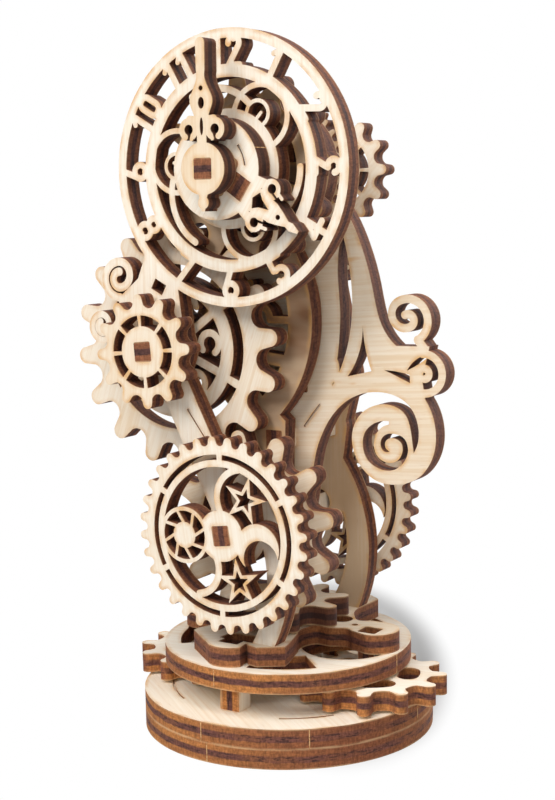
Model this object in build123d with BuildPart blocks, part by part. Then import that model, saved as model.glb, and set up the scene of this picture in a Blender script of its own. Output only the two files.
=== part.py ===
"""Wooden gear clock: flat plywood plates and gears on square shafts, one solid per piece."""
import os
from math import asin, atan2, cos, degrees, hypot, radians, sin, sqrt

from build123d import *

os.makedirs("parts", exist_ok=True)

# Sheet and layers, in mm. Every plate is one sheet thick. Front faces -Y, Z is up.
ply = 3.0
layer = 4.0
y_front = -14.0
y_outer = y_front - layer
hand_gap = 0.2
y_hour_hand = y_front - hand_gap - ply
y_minute = y_hour_hand - hand_gap - ply
y_train = y_front + layer
y_inner = y_train + layer
y_scroll = y_inner + layer
y_hour = y_scroll + layer
y_idler = y_hour + ply
y_rear = y_scroll + 3 * layer
y_back = y_rear + layer
y_last = y_back + layer

# Shafts and running fits
shaft_w = 3.0
shaft_corner = 0.3
pipe_w = 6.0
pipe_corner = 0.8
key_out = 6.0
key_w = 3.2
run_gap = 0.08
end_gap = 0.1
bore_r = shaft_w / 2 * sqrt(2) - shaft_corner * (sqrt(2) - 1) + run_gap
pipe_bore_r = pipe_w / 2 * sqrt(2) - pipe_corner * (sqrt(2) - 1) + run_gap
pin_r = 1.0
pin_gap = 0.06
lift = 0.2
groove_w = 0.35
groove_d = 0.3

# Base, from the table up
base_r = 22.6
platform_r = 19.25
post_gap = 4.0
z_upper = ply
z_pinion = 2 * ply + 0.5
z_platform = 2 * ply + post_gap
z_cross = z_platform + ply
z_deck = z_cross + ply
z_crown = z_deck + 0.3
post_w = 3.4
tab_w = 2.4
post_y = 15.2
arm_long = 18.6
lobe_w = 7.2
lobe_y = 1.2
window_r = 7.0
window_x = 10.6
arc_r = 17.9
foot_x = 2.6
foot_w = 3.6

# Axes of the upright train, (x, z)
axis_a = (0.0, 85.4)
axis_c = (0.0, 32.7)
train_gap = 29.5
axis_b = (-sqrt(train_gap**2 - ((axis_a[1] - axis_c[1]) / 2) ** 2), (axis_a[1] + axis_c[1]) / 2)
idler_gap = 12.0
idler_x = 0.0
axis_d = (idler_x, axis_a[1] - sqrt(idler_gap**2 - idler_x**2))

# Tooth counts
teeth_end = 12
teeth_mid = 16
teeth_crown = 8
teeth_sun = 6
teeth_thumb = 12
teeth_hour = 32
teeth_leaf = 8
teeth_wheel = 30
teeth_cannon = 10
teeth_fine = 32
teeth_knob = 12
knob_r = 7.6
pitch_end = train_gap * teeth_end / (teeth_end + teeth_mid)
pitch_mid = train_gap - pitch_end
pitch_crown = pitch_end * teeth_crown / teeth_end
thumb_gap = 14.7
pitch_sun = thumb_gap * teeth_sun / (teeth_sun + teeth_thumb)
pitch_thumb = thumb_gap - pitch_sun
pitch_leaf = idler_gap * teeth_leaf / (teeth_leaf + teeth_hour)
pitch_hour = idler_gap - pitch_leaf
pitch_cannon = idler_gap * teeth_cannon / (teeth_cannon + teeth_wheel)
pitch_wheel = idler_gap - pitch_cannon

# Dial
dial_r = 19.7
rim_w = 1.4
band_in = 14.7
ring_in = 12.9
hub_r = 8.5
stroke_w = 0.95

# Inner plate and the pegs that tie the inner plates together
ring_mid = (-11.7, 63.3)
ring_r = 18.4
ring_w = 4.0
boss_r = 9.6
peg_low_at = (1.8, 45.2)
peg_mid_at = (4.0, 53.6)
peg_out = 7.0

# Shaft turns at rest, seen from the front, and the rest angle of the middle gear
turn_b = 5.0
turn_c = 8.0
rest_mid = 6.5
rest_fine = 5.1
hour_rest = -34.0


def at(r, angle, centre=(0.0, 0.0)):
    """Point at a radius and an angle in degrees from a centre."""
    return (centre[0] + r * cos(radians(angle)), centre[1] + r * sin(radians(angle)))


def bearing(p, q):
    """Angle in degrees of the line from p to q."""
    return degrees(atan2(q[1] - p[1], q[0] - p[0]))


def mate(rest, teeth, line, mate_teeth):
    """Rest angle of a gear whose gap faces the tooth of the gear it runs with."""
    return line + 180 + 180 / mate_teeth - (rest - line) * teeth / mate_teeth


def upright(y_face):
    """Drawing plane at the back of an upright sheet; drawing up pulls it to y_face."""
    return Plane(origin=(0, y_face + ply, 0), x_dir=(1, 0, 0), z_dir=(0, -1, 0))


def front_of(y_face):
    """Drawing plane on the front face of an upright sheet."""
    return Plane(origin=(0, y_face, 0), x_dir=(1, 0, 0), z_dir=(0, -1, 0))


def gear(teeth, pitch, addendum, dedendum, tooth_w, rest):
    """Finger-toothed outline with round tips and round valleys."""
    step = 360 / teeth
    low_r = pitch - dedendum * 0.55
    high_r = pitch + addendum * 0.3
    low_a = degrees(asin(tooth_w * 0.55 / low_r))
    high_a = degrees(asin(tooth_w * 0.45 / high_r))
    with BuildSketch() as face:
        with BuildLine():
            for k in range(teeth):
                mid = rest + k * step
                foot = at(low_r, mid - low_a)
                left = at(high_r, mid - high_a)
                right = at(high_r, mid + high_a)
                heel = at(low_r, mid + low_a)
                Line(foot, left)
                ThreePointArc(left, at(pitch + addendum, mid), right)
                Line(right, heel)
                ThreePointArc(heel, at(pitch - dedendum, mid + step / 2), at(low_r, mid + step - low_a))
        make_face()
    return face.sketch


def window(r_in, r_out, start, span):
    """Part of a flat ring between two radii."""
    with BuildSketch() as face:
        with BuildLine():
            CenterArc((0, 0), r_out, start, span)
            Line(at(r_out, start + span), at(r_in, start + span))
            CenterArc((0, 0), r_in, start + span, -span)
            Line(at(r_in, start), at(r_out, start))
        make_face()
    return face.sketch


def bar(p, q, width):
    """Straight stroke with round ends."""
    mid = ((p[0] + q[0]) / 2, (p[1] + q[1]) / 2)
    with BuildSketch() as face:
        with Locations(mid):
            SlotCenterToCenter(hypot(q[0] - p[0], q[1] - p[1]), width, rotation=bearing(p, q))
    return face.sketch


def bow(centre, r, start, span, width):
    """Arc stroke with round ends."""
    with BuildSketch() as face:
        with Locations(centre):
            add(window(r - width / 2, r + width / 2, start, span))
        with Locations(at(r, start, centre), at(r, start + span, centre)):
            Circle(width / 2)
    return face.sketch


def scroll(centre, r, start, halves, shrink, width, hand=1):
    """Spiral stroke of half turns, each smaller by the same step."""
    with BuildSketch() as face:
        for k in range(halves):
            turn = start + hand * 180 * k
            add(bow(centre, r - k * shrink, turn, hand * 180, width))
            centre = at(shrink, turn + 180, centre)
    return face.sketch


def star(centre, r, waist, tilt):
    """Five-pointed star."""
    with BuildSketch() as face:
        with BuildLine():
            Polyline(*[at(r if k % 2 == 0 else waist, tilt + 36 * k, centre) for k in range(10)], close=True)
        make_face()
    return face.sketch


def shaft_end(spin=0.0):
    """Cross-section of a square shaft."""
    with BuildSketch() as face:
        RectangleRounded(shaft_w, shaft_w, shaft_corner, rotation=spin)
    return face.sketch


def pipe_end():
    """Outer cross-section of the square pipe that carries the hour hand."""
    with BuildSketch() as face:
        RectangleRounded(pipe_w, pipe_w, pipe_corner, rotation=hour_rest)
    return face.sketch


def key_end():
    """Cross-section of the key beside the pipe, along an hour hand that points right."""
    with BuildSketch() as face:
        with Locations(((pipe_w / 2 + key_out) / 2, 0)):
            Rectangle(key_out - pipe_w / 2, key_w)
    return face.sketch


def numeral(text, flip):
    """Stroke numeral that bridges the two dial rings, centred on the origin."""
    high = dial_r - rim_w - band_in + 0.5
    half = high / 2
    wide = 0.9
    with BuildSketch() as face:
        for i, mark in enumerate(text):
            x = (i - (len(text) - 1) / 2) * 2.7
            up = -1 if flip else 1
            right = (x + up * wide, 0)
            left = (x - up * wide, 0)
            top = up * half
            if mark == "1":
                add(bar((x, -half), (x, half), stroke_w))
                add(bar((x, top), (left[0], top * 0.5), stroke_w * 0.8))
            elif mark == "2":
                add(bow((x, top * 0.5), wide, -25 if up > 0 else 155, 205, stroke_w))
                add(bar(at(wide, -25 if up > 0 else 155, (x, top * 0.5)), (left[0], -top), stroke_w))
                add(bar((left[0], -top), (right[0], -top), stroke_w))
                add(bar((x, top * 0.8), (x, top), stroke_w))
            elif mark == "3":
                add(bar((left[0], top), (right[0], top), stroke_w))
                add(bar((right[0], top), (x, top * 0.2), stroke_w))
                add(bow((x, -top * 0.4), wide, 100 if up > 0 else 280, -270, stroke_w))
                add(bar((x, -top * 0.8), (x, -top), stroke_w))
            elif mark == "4":
                add(bar((x, top), (left[0] * 1.0 - up * 0.5, -top * 0.25), stroke_w))
                add(bar((left[0] - up * 0.5, -top * 0.25), (right[0] + up * 0.3, -top * 0.25), stroke_w))
                add(bar((x, top), (x, -top), stroke_w))
            elif mark == "5":
                add(bar((left[0], top), (right[0], top), stroke_w))
                add(bar((left[0], top), (left[0], top * 0.15), stroke_w))
                add(bow((x, -top * 0.35), wide + 0.1, 120 if up > 0 else 300, -260, stroke_w))
                add(bar((x, -top * 0.8), (x, -top), stroke_w))
            elif mark == "6":
                add(bow((x, -top * 0.4), wide + 0.1, 0, 359, stroke_w))
                add(bar((left[0] - up * 0.1, -top * 0.4), (x, top), stroke_w))
                add(bar((x, -top * 0.8), (x, -top), stroke_w))
            elif mark == "7":
                add(bar((left[0] - up * 0.3, top), (right[0], top), stroke_w))
                add(bar((right[0], top), (x, -top), stroke_w))
            elif mark == "8":
                add(bow((x, -top * 0.45), wide + 0.1, 0, 359, stroke_w))
                add(bow((x, top * 0.45), wide, 0, 359, stroke_w))
                add(bar((x, -top * 0.85), (x, -top), stroke_w))
                add(bar((x, top * 0.85), (x, top), stroke_w))
            elif mark == "9":
                add(bow((x, top * 0.4), wide + 0.1, 0, 359, stroke_w))
                add(bar((right[0] + up * 0.1, top * 0.4), (x, -top), stroke_w))
                add(bar((x, top * 0.8), (x, top), stroke_w))
            elif mark == "0":
                add(bow((x, top * 0.4), wide, 0 if up > 0 else 180, 180, stroke_w))
                add(bow((x, -top * 0.4), wide, 180 if up > 0 else 0, 180, stroke_w))
                add(bar((left[0], top * 0.4), (left[0], -top * 0.4), stroke_w))
                add(bar((right[0], top * 0.4), (right[0], -top * 0.4), stroke_w))
                add(bar((x, top * 0.8), (x, top), stroke_w))
                add(bar((x, -top * 0.8), (x, -top), stroke_w))
    return face.sketch


def leg(shoulder):
    """Bowed leg from above axis C down to the deck, with its tab through the deck."""
    left = foot_x
    right = foot_x + foot_w
    with BuildSketch() as face:
        with BuildLine():
            ThreePointArc((1.6, 43.6), (8.8, 29.5), (right + shoulder, z_deck))
            Polyline(
                (right + shoulder, z_deck),
                (right, z_deck),
                (right, z_cross),
                (left, z_cross),
                (left, z_deck),
                (left - shoulder, z_deck),
            )
            ThreePointArc((left - shoulder, z_deck), (4.9, 29.5), (-1.2, 40.2))
            Line((-1.2, 40.2), (1.6, 43.6))
        make_face()
    return face.sketch


def fine_gear(rest, spin):
    """Fine-toothed wheel with a rayed sun, a crescent and two stars in its windows."""
    sun = (-6.5, -0.5)
    sun_r = 4.25
    with BuildSketch() as face:
        add(gear(teeth_fine, 14.0, 0.6, 0.75, 1.35, rest))
        for k in range(6):
            add(window(11.2, 12.0, 60 * k + 32.2, 55.6), mode=Mode.SUBTRACT)
        Circle(10.2, mode=Mode.SUBTRACT)
        Circle(3.8)
        with Locations(sun):
            Circle(sun_r)
            Circle(sun_r - 0.6, mode=Mode.SUBTRACT)
            Circle(1.95)
        for k in range(8):
            add(bar(at(1.7, 45 * k, sun), at(sun_r - 0.3, 45 * k + 20, sun), 0.45))
        add(bow((3.8, 5.7), 4.35, 98, 130, 1.0))
        add(bow((-4.6, -5.0), 4.1, -82, 118, 1.1))
        with BuildSketch(mode=Mode.PRIVATE) as crescent:
            with Locations((6.3, -1.2)):
                Circle(3.6)
            with Locations((6.8, -2.9)):
                Circle(2.9, mode=Mode.SUBTRACT)
        add(crescent.sketch)
        for gem, tilt in (((4.2, 5.6), 4), ((2.9, -6.6), 26)):
            add(star(gem, 3.7, 1.3, tilt))
            add(star(gem, 1.8, 0.75, tilt), mode=Mode.SUBTRACT)
        add(shaft_end(spin), mode=Mode.SUBTRACT)
    return face.sketch


def knob_gear(pitch, rest, spin):
    """Twelve-tooth wheel with a ring of eight windows."""
    with BuildSketch() as face:
        add(gear(teeth_knob, pitch, 0.9, 1.0, pitch * 0.23, rest))
        for k in range(8):
            add(window(pitch - 3.8, pitch - 2.2, rest + 45 * k + 3.5, 38), mode=Mode.SUBTRACT)
        add(shaft_end(spin), mode=Mode.SUBTRACT)
    return face.sketch


def train_gear(teeth, pitch, rest):
    """Round-toothed train gear without its hub hole."""
    return gear(teeth, pitch, 1.75, 2.0, 2.9, rest)


def small_gear(teeth, pitch, rest):
    """Small-toothed gear of the motion work without its hub hole."""
    return gear(teeth, pitch, 0.45, 0.6, 0.75, rest)


def hour_face():
    """Hour hand pointing right, with a disc hub and a scrolled arrow."""
    with BuildSketch() as face:
        Circle(7.2)
        with BuildLine():
            Polyline((6.6, 2.3), (8.4, 1.7), (11.3, 1.5), (12.6, 1.05), (14.0, 0.45), (14.8, 0.62), (16.1, 0.2),
                     (16.1, -0.2), (14.8, -0.62), (14.0, -0.45), (12.6, -1.05), (11.3, -1.5), (8.4, -1.7), (6.6, -2.3),
                     close=True)
        make_face()
        for side in (1, -1):
            with Locations((9.35, side * 2.6)):
                Circle(1.5)
            add(bar((6.4, side * 2.3), (8.6, side * 2.8), 1.4))
            add(bar((10.3, side * 2.8), (11.5, side * 2.45), 0.5))
            with Locations((9.4, side * 2.75)):
                Circle(0.68, mode=Mode.SUBTRACT)
            add(bar((9.7, side * 2.3), (10.9, side * 1.95), 0.35), mode=Mode.SUBTRACT)
        with BuildLine():
            Polyline((7.35, 0), (8.05, 1.3), (8.9, 0.6), (10.5, 0), (8.9, -0.6), (8.05, -1.3), close=True)
        make_face(mode=Mode.SUBTRACT)
        with Locations((12.3, 0)):
            Circle(0.36, mode=Mode.SUBTRACT)
    return face.sketch


def minute_face():
    """Minute hand pointing up, with a round hub, a pair of curls and a blade."""
    with BuildSketch() as face:
        Circle(3.65)
        with BuildLine():
            Polyline((0.8, -3.3), (0.25, -5.9), (-0.25, -5.9), (-0.8, -3.3), close=True)
        make_face()
        with Locations((0, -4.7)):
            Circle(0.9)
        with BuildLine():
            Spline((0.8, 3.0), (0.8, 4.4), (1.3, 7.5), (1.9, 9.4), (1.5, 10.5), (0.9, 11.7), (0.72, 13.4))
            Line((0.72, 13.4), (0.75, 17.2))
            ThreePointArc((0.75, 17.2), (0, 17.9), (-0.75, 17.2))
            Line((-0.75, 17.2), (-0.72, 13.4))
            Spline((-0.72, 13.4), (-0.9, 11.7), (-1.5, 10.5), (-1.9, 9.4), (-1.3, 7.5), (-0.8, 4.4), (-0.8, 3.0))
            Line((-0.8, 3.0), (0.8, 3.0))
        make_face()
        for side in (1, -1):
            add(bow((side * 2.2, 5.4), 1.15, 90 - side * 150, side * 290, 0.9))
            add(bar((side * 0.6, 6.6), (side * 2.0, 6.75), 1.15))
            add(bar((side * 1.55, 4.6), (side * 1.75, 4.1), 0.6))
        with Locations((0, 9.0)):
            Ellipse(0.5, 0.8, mode=Mode.SUBTRACT)
        with Locations((0, 5.8)):
            Ellipse(0.28, 1.2, mode=Mode.SUBTRACT)
        with Locations((0, 11.0)):
            Circle(0.34, mode=Mode.SUBTRACT)
    return face.sketch


# Rest angles along the train
rest_end_c = mate(rest_mid, teeth_mid, bearing(axis_b, axis_c), teeth_end)
rest_end_a = mate(rest_mid, teeth_mid, bearing(axis_b, axis_a), teeth_end)
lead = (rest_end_c + 90) * teeth_end / 360
rest_crown = -90 + (lead % 1 - 0.5) * 360 / teeth_crown
rest_sun = -16.0
rest_right = mate(rest_sun, teeth_sun, 0.0, teeth_thumb)
rest_left = mate(rest_sun, teeth_sun, 180.0, teeth_thumb)
rest_hour = 0.0
rest_leaf = mate(rest_hour, teeth_hour, bearing(axis_a, axis_d), teeth_leaf)
rest_cannon = 0.0
rest_wheel = mate(rest_cannon, teeth_cannon, bearing(axis_a, axis_d), teeth_wheel)

# Base discs and what stands on them
with BuildPart() as base_lower:
    with BuildSketch():
        Circle(base_r)
    extrude(amount=ply)

with BuildPart() as base_upper:
    with BuildSketch(Plane.XY.offset(z_upper)):
        Circle(base_r)
        Circle(bore_r, mode=Mode.SUBTRACT)
        with Locations((thumb_gap, 0), (-thumb_gap, 0)):
            add(shaft_end(), mode=Mode.SUBTRACT)
        with Locations((0, post_y), (0, -post_y)):
            Rectangle(tab_w, ply, mode=Mode.SUBTRACT)
    extrude(amount=ply)
    with BuildSketch(Plane.XY.offset(z_upper + ply)):
        add(window(arc_r, arc_r + groove_w, 204, 36))
        add(window(arc_r, arc_r + groove_w, 297, 26))
    extrude(amount=-groove_d, mode=Mode.SUBTRACT)


def post(y):
    """Short post with a tab at each end, at one place on the base."""
    with BuildPart() as piece:
        with BuildSketch(Plane.XY.offset(z_upper)):
            with Locations((0, y)):
                Rectangle(tab_w, ply)
        extrude(amount=z_cross - z_upper)
        with BuildSketch(Plane.XY.offset(2 * ply)):
            with Locations((0, y)):
                Rectangle(post_w, ply)
        extrude(amount=post_gap)
    return piece


def thumb_pin(x):
    """Square pin a thumb gear turns on."""
    with BuildPart() as piece:
        with BuildSketch(Plane.XY.offset(z_upper)):
            with Locations((x, 0)):
                add(shaft_end())
        extrude(amount=z_deck - 2.2 - z_upper)
    return piece


post_front = post(-post_y)
post_back = post(post_y)
pin_right = thumb_pin(thumb_gap)
pin_left = thumb_pin(-thumb_gap)

with BuildPart() as platform:
    with BuildSketch(Plane.XY.offset(z_platform)):
        Circle(platform_r)
        Circle(bore_r, mode=Mode.SUBTRACT)
        with Locations((0, post_y), (0, -post_y)):
            Rectangle(tab_w, ply, mode=Mode.SUBTRACT)
        with Locations((window_x, 0), (-window_x, 0)):
            Circle(window_r, mode=Mode.SUBTRACT)
        for start, inner in ((44, 10.5), (100, 10.5), (186, 9.0), (280, 10.5)):
            add(window(inner, 16.8, start, 36), mode=Mode.SUBTRACT)
    extrude(amount=ply)

with BuildPart() as cross_plate:
    with BuildSketch(Plane.XY.offset(z_cross)):
        with BuildLine():
            Polyline((1.8, -14.7), (2.5, -15.3), (4.2, -15.7), (7.7, -13.3), (7.4, -11.8), (5.7, -6.3))
            Spline((5.7, -6.3), (5.3, -3.5), (6.4, -1.7), (8.6, -1.7), (10.2, -0.9), (12.2, -1.4))
            Line((12.2, -1.4), (arm_long - lobe_w / 2, lobe_y - lobe_w / 2))
            ThreePointArc(
                (arm_long - lobe_w / 2, lobe_y - lobe_w / 2),
                (arm_long, lobe_y),
                (arm_long - lobe_w / 2, lobe_y + lobe_w / 2),
            )
            Line((arm_long - lobe_w / 2, lobe_y + lobe_w / 2), (12.2, 4.6))
            Spline((12.2, 4.6), (10.4, 3.9), (9.0, 5.4), (7.9, 7.2), (7.2, 10.0))
            Polyline((7.2, 10.0), (7.4, 16.2), (5.3, 17.7), (-5.3, 17.2), (-7.1, 13.0), (-5.7, 6.3))
            Spline((-5.7, 6.3), (-5.3, 3.9), (-6.4, 2.4), (-8.6, 2.3), (-10.2, 2.6), (-12.2, 4.4))
            Line((-12.2, 4.4), (lobe_w / 2 - arm_long, lobe_w / 2))
            ThreePointArc(
                (lobe_w / 2 - arm_long, lobe_w / 2),
                (-arm_long, 0),
                (lobe_w / 2 - arm_long, -lobe_w / 2),
            )
            Line((lobe_w / 2 - arm_long, -lobe_w / 2), (-12.2, -4.0))
            Spline((-12.2, -4.0), (-9.6, -4.4), (-8.0, -6.4), (-8.4, -9.4), (-9.1, -12.6))
            Line((-9.1, -12.6), (-3.6, -17.0))
            ThreePointArc((-3.6, -17.0), (-0.6, -18.2), (2.1, -16.8))
            Line((2.1, -16.8), (1.8, -14.7))
        make_face()
        Circle(bore_r, mode=Mode.SUBTRACT)
        with Locations((thumb_gap, 0), (-thumb_gap, 0)):
            add(shaft_end(), mode=Mode.SUBTRACT)
        with Locations((foot_x + foot_w - 4.8, y_front + ply / 2)):
            Rectangle(9.6, ply, mode=Mode.SUBTRACT)
        with Locations((-0.8, y_front - 0.9)):
            Rectangle(3.4, 1.8, mode=Mode.SUBTRACT)
        with Locations((foot_x + foot_w / 2, y_rear + ply / 2)):
            Rectangle(foot_w, ply, mode=Mode.SUBTRACT)
        with Locations((7.9, 3.3)):
            Circle(1.7, mode=Mode.SUBTRACT)
        with Locations((11.2, 1.5)):
            Circle(0.5, mode=Mode.SUBTRACT)
    extrude(amount=ply)


def thumb_gear(x, rest):
    """Thumb-turned gear with a ring of kidney holes, loose on its pin."""
    with BuildPart() as piece:
        with BuildSketch(Plane.XY.offset(z_pinion)):
            with Locations((x, 0)):
                add(gear(teeth_thumb, pitch_thumb, 1.75, 0.75, 2.3, rest))
                Circle(bore_r, mode=Mode.SUBTRACT)
                for k in range(5):
                    add(bow((0, 0), 5.9, 9 + 72 * k, 22, 3.3), mode=Mode.SUBTRACT)
        extrude(amount=ply)
    return piece


# Thumb gears, the sun pinion and the crown gear
thumb_right = thumb_gear(thumb_gap, rest_right)
thumb_left = thumb_gear(-thumb_gap, rest_left)

with BuildPart() as sun_pinion:
    with BuildSketch(Plane.XY.offset(z_pinion)):
        add(gear(teeth_sun, pitch_sun, 0.4, 2.0, 1.4, rest_sun))
        add(shaft_end(), mode=Mode.SUBTRACT)
    extrude(amount=ply)

with BuildPart() as crown_gear:
    with BuildSketch(Plane.XY.offset(z_crown)):
        add(gear(teeth_crown, pitch_crown, 1.2, 2.3, 2.5, rest_crown))
        add(shaft_end(), mode=Mode.SUBTRACT)
    extrude(amount=ply)

with BuildPart() as centre_shaft:
    with BuildSketch(Plane.XY.offset(z_upper + end_gap)):
        add(shaft_end())
    extrude(amount=z_crown + ply - z_upper - end_gap)

# Front plate: dial, bracket, strut and leg
with BuildPart() as front_plate:
    with BuildSketch(upright(y_front)):
        with Locations(axis_a):
            Circle(dial_r)
            Circle(dial_r - rim_w, mode=Mode.SUBTRACT)
            Circle(band_in)
            Circle(ring_in, mode=Mode.SUBTRACT)
            Circle(hub_r)
        for k in range(3):
            turn = 172 + 120 * k
            eye = at(9.05, turn, axis_a)
            curl = at(9.15, turn + 4, axis_a)
            add(bow(eye, 4.45, turn + 130, -260, 0.8))
            add(bow(curl, 1.8, turn - 112, 235, 0.55))
            add(bar(at(0.6, turn - 45, curl), at(1.4, turn + 190, curl), 0.5))
            add(bow(at(4.0, turn + 68, axis_a), 8.0, turn - 7, 75, 1.0))
        for hour in range(1, 13):
            spot = at((band_in + dial_r - rim_w) / 2, 90 - 30 * hour, axis_a)
            flip = 3 <= hour <= 9
            with Locations(Location((spot[0], spot[1], 0), (0, 0, -30 * hour))):
                add(numeral(str(hour), flip))
        with BuildLine():
            Polyline(
                at(dial_r - 0.7, 218, axis_a),
                (-16.7, 69.6),
                (-20.6, 66.5),
                (axis_b[0] - 5.0, axis_b[1]),
                (axis_b[0] + 5.0, axis_b[1]),
                (-8.9, 64.5),
                at(dial_r - 0.7, 240, axis_a),
                close=True,
            )
        make_face()
        add(scroll((-20.2, 69.4), 2.7, 270, 3, 0.75, 1.25, hand=-1))
        add(bar((-18.4, 60.5), (-22.4, 60.4), 1.3))
        add(scroll((-23.8, 62.1), 2.0, 290, 3, 0.55, 1.05, hand=-1))
        with Locations(axis_b, axis_c):
            Circle(5.2)
        add(bar(axis_b, axis_c, 5.2))
        add(leg(0.1))
        with Locations(Location((-12.9, 68.4, 0), (0, 0, -28))):
            Rectangle(2.2, 1.7, mode=Mode.SUBTRACT)
        with Locations(axis_b, axis_c):
            Circle(bore_r, mode=Mode.SUBTRACT)
        with Locations(axis_a):
            Circle(pipe_bore_r, mode=Mode.SUBTRACT)
    extrude(amount=ply)
    with BuildSketch(front_of(y_front)):
        add(bar((-8.1, 50.2), (-5.2, 46.3), groove_w))
    extrude(amount=-groove_d, mode=Mode.SUBTRACT)

# Inner plate: shaded ring around axis B with bosses for A and C
peg_left_at = at(peg_out, 200, axis_a)
peg_right_at = at(peg_out, 20, axis_a)
with BuildPart() as inner_plate:
    with BuildSketch(upright(y_inner)):
        add(bow(ring_mid, ring_r, -75, 150, ring_w))
        with Locations(axis_b):
            Circle(4.6)
        for k in range(4):
            add(bar(axis_b, at(ring_r, 60 - 40 * k, ring_mid), 1.8))
        for k in range(3):
            curl = at(11.0, 40 - 40 * k, ring_mid)
            add(bow(curl, 2.2, 40 - 40 * k, 270, 1.1))
            add(bar(at(2.2, 40 - 40 * k, curl), at(ring_r, 40 - 40 * k, ring_mid), 1.1))
        with Locations(axis_a):
            Circle(boss_r)
        with Locations(axis_c):
            Circle(5.6)
        with BuildLine():
            Polyline((-1.1, 52.7), (3.9, 48.2), (3.6, 42.0), (3.4, 34.0), (-3.4, 34.0), (-5.4, 49.0), close=True)
        make_face()
        with Locations(axis_b, axis_c):
            Circle(bore_r, mode=Mode.SUBTRACT)
        with Locations(axis_a):
            Circle(pipe_bore_r, mode=Mode.SUBTRACT)
        with Locations(peg_low_at, peg_left_at, peg_right_at):
            add(shaft_end(), mode=Mode.SUBTRACT)
    extrude(amount=ply)

# Scroll plate: the tall arm with the horn and the three scrolls on the right
with BuildPart() as scroll_plate:
    with BuildSketch(upright(y_scroll)):
        with BuildLine():
            Spline((-3.4, 44.0), (-6.0, 51.0), (-7.0, 58.0), (-6.6, 66.0), (-4.6, 77.0))
            Line((-4.6, 77.0), (11.5, 80.5))
            Spline((11.5, 80.5), (13.1, 78.0), (15.0, 73.8), (16.6, 68.4), (17.9, 63.2), (20.5, 59.7))
            Polyline((20.5, 59.7), (25.8, 59.8), (24.6, 55.0), (25.1, 52.1))
            Spline((25.1, 52.1), (26.6, 48.6), (26.4, 44.2), (23.8, 40.5), (20.4, 39.3), (16.8, 39.7), (13.9, 42.4),
                   (13.0, 45.7), (14.1, 48.9), (16.6, 50.7), (19.4, 51.0), (21.8, 49.8), (22.8, 47.2), (23.2, 44.2))
            Spline((23.2, 44.2), (24.0, 46.2), (23.8, 48.8), (22.6, 51.0), (20.0, 52.5), (17.0, 52.8), (13.6, 52.0),
                   (10.4, 49.7), (8.0, 46.2), (6.6, 42.4), (5.9, 38.0), (4.6, 32.0))
            Line((4.6, 32.0), (-5.0, 31.0))
            Line((-5.0, 31.0), (-3.4, 44.0))
        make_face()
        with BuildLine():
            Spline((18.5, 56.1), (20.4, 56.0), (22.6, 55.6))
            Line((22.6, 55.6), (22.9, 54.3))
            Spline((22.9, 54.3), (21.0, 55.1), (18.5, 56.1))
        make_face(mode=Mode.SUBTRACT)
        with BuildLine():
            Spline((22.2, 56.2), (23.6, 57.8), (26.2, 58.8))
            Spline((26.2, 58.8), (24.4, 57.4), (22.2, 56.2))
        make_face(mode=Mode.SUBTRACT)
        add(scroll((22.4, 63.4), 3.15, 300, 3, 1.1, 1.2))
        add(bar(at(3.15, 300, (22.4, 63.4)), (25.0, 59.4), 1.3))
        add(scroll((24.95, 55.85), 2.85, 95, 3, 1.05, 1.15, hand=-1))
        with BuildLine():
            Spline((11.8, 76.0), (10.9, 70.9), (11.2, 65.0), (11.0, 60.0), (9.7, 53.3))
            Spline((9.7, 53.3), (12.6, 60.0), (13.3, 66.0), (12.9, 71.0), (11.8, 76.0))
        make_face(mode=Mode.SUBTRACT)
        with BuildLine():
            Spline((15.0, 62.5), (14.5, 58.9), (12.4, 54.9))
            Line((12.4, 54.9), (16.4, 55.8))
            Spline((16.4, 55.8), (15.6, 58.4), (15.0, 62.5))
        make_face(mode=Mode.SUBTRACT)
        with BuildLine():
            Spline((19.2, 48.6), (16.9, 48.2), (15.2, 46.7), (14.8, 44.8), (15.6, 42.6), (17.6, 41.4), (19.8, 41.4),
                   (21.6, 42.7), (22.3, 44.6), (21.7, 46.2), (20.2, 46.8), (18.5, 46.5), (17.8, 45.3), (18.2, 44.2),
                   (19.3, 44.2))
            Spline((19.3, 44.2), (18.6, 44.7), (18.6, 45.5), (19.1, 46.0), (20.2, 46.1), (21.2, 45.5), (21.4, 44.4),
                   (20.6, 42.9), (18.6, 42.5), (17.1, 43.5), (16.7, 45.2), (17.3, 46.9), (19.2, 48.1))
            Line((19.2, 48.1), (19.2, 48.6))
        make_face(mode=Mode.SUBTRACT)
        with Locations(axis_a):
            Circle(boss_r)
        with Locations(axis_c):
            Circle(5.6)
        add(bar(axis_d, axis_a, 6.0))
        add(bar(peg_mid_at, (8.2, 56.0), 5.6))
        with Locations(axis_a):
            Circle(pipe_bore_r, mode=Mode.SUBTRACT)
        with Locations(axis_c):
            Circle(bore_r, mode=Mode.SUBTRACT)
        with Locations(axis_d):
            Circle(pin_r, mode=Mode.SUBTRACT)
        with Locations(peg_low_at, peg_mid_at, peg_left_at, peg_right_at):
            add(shaft_end(), mode=Mode.SUBTRACT)
    extrude(amount=ply)
    with BuildSketch(front_of(y_scroll)):
        add(bar((4.9, 47.0), (7.5, 50.3), groove_w))
    extrude(amount=-groove_d, mode=Mode.SUBTRACT)

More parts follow.
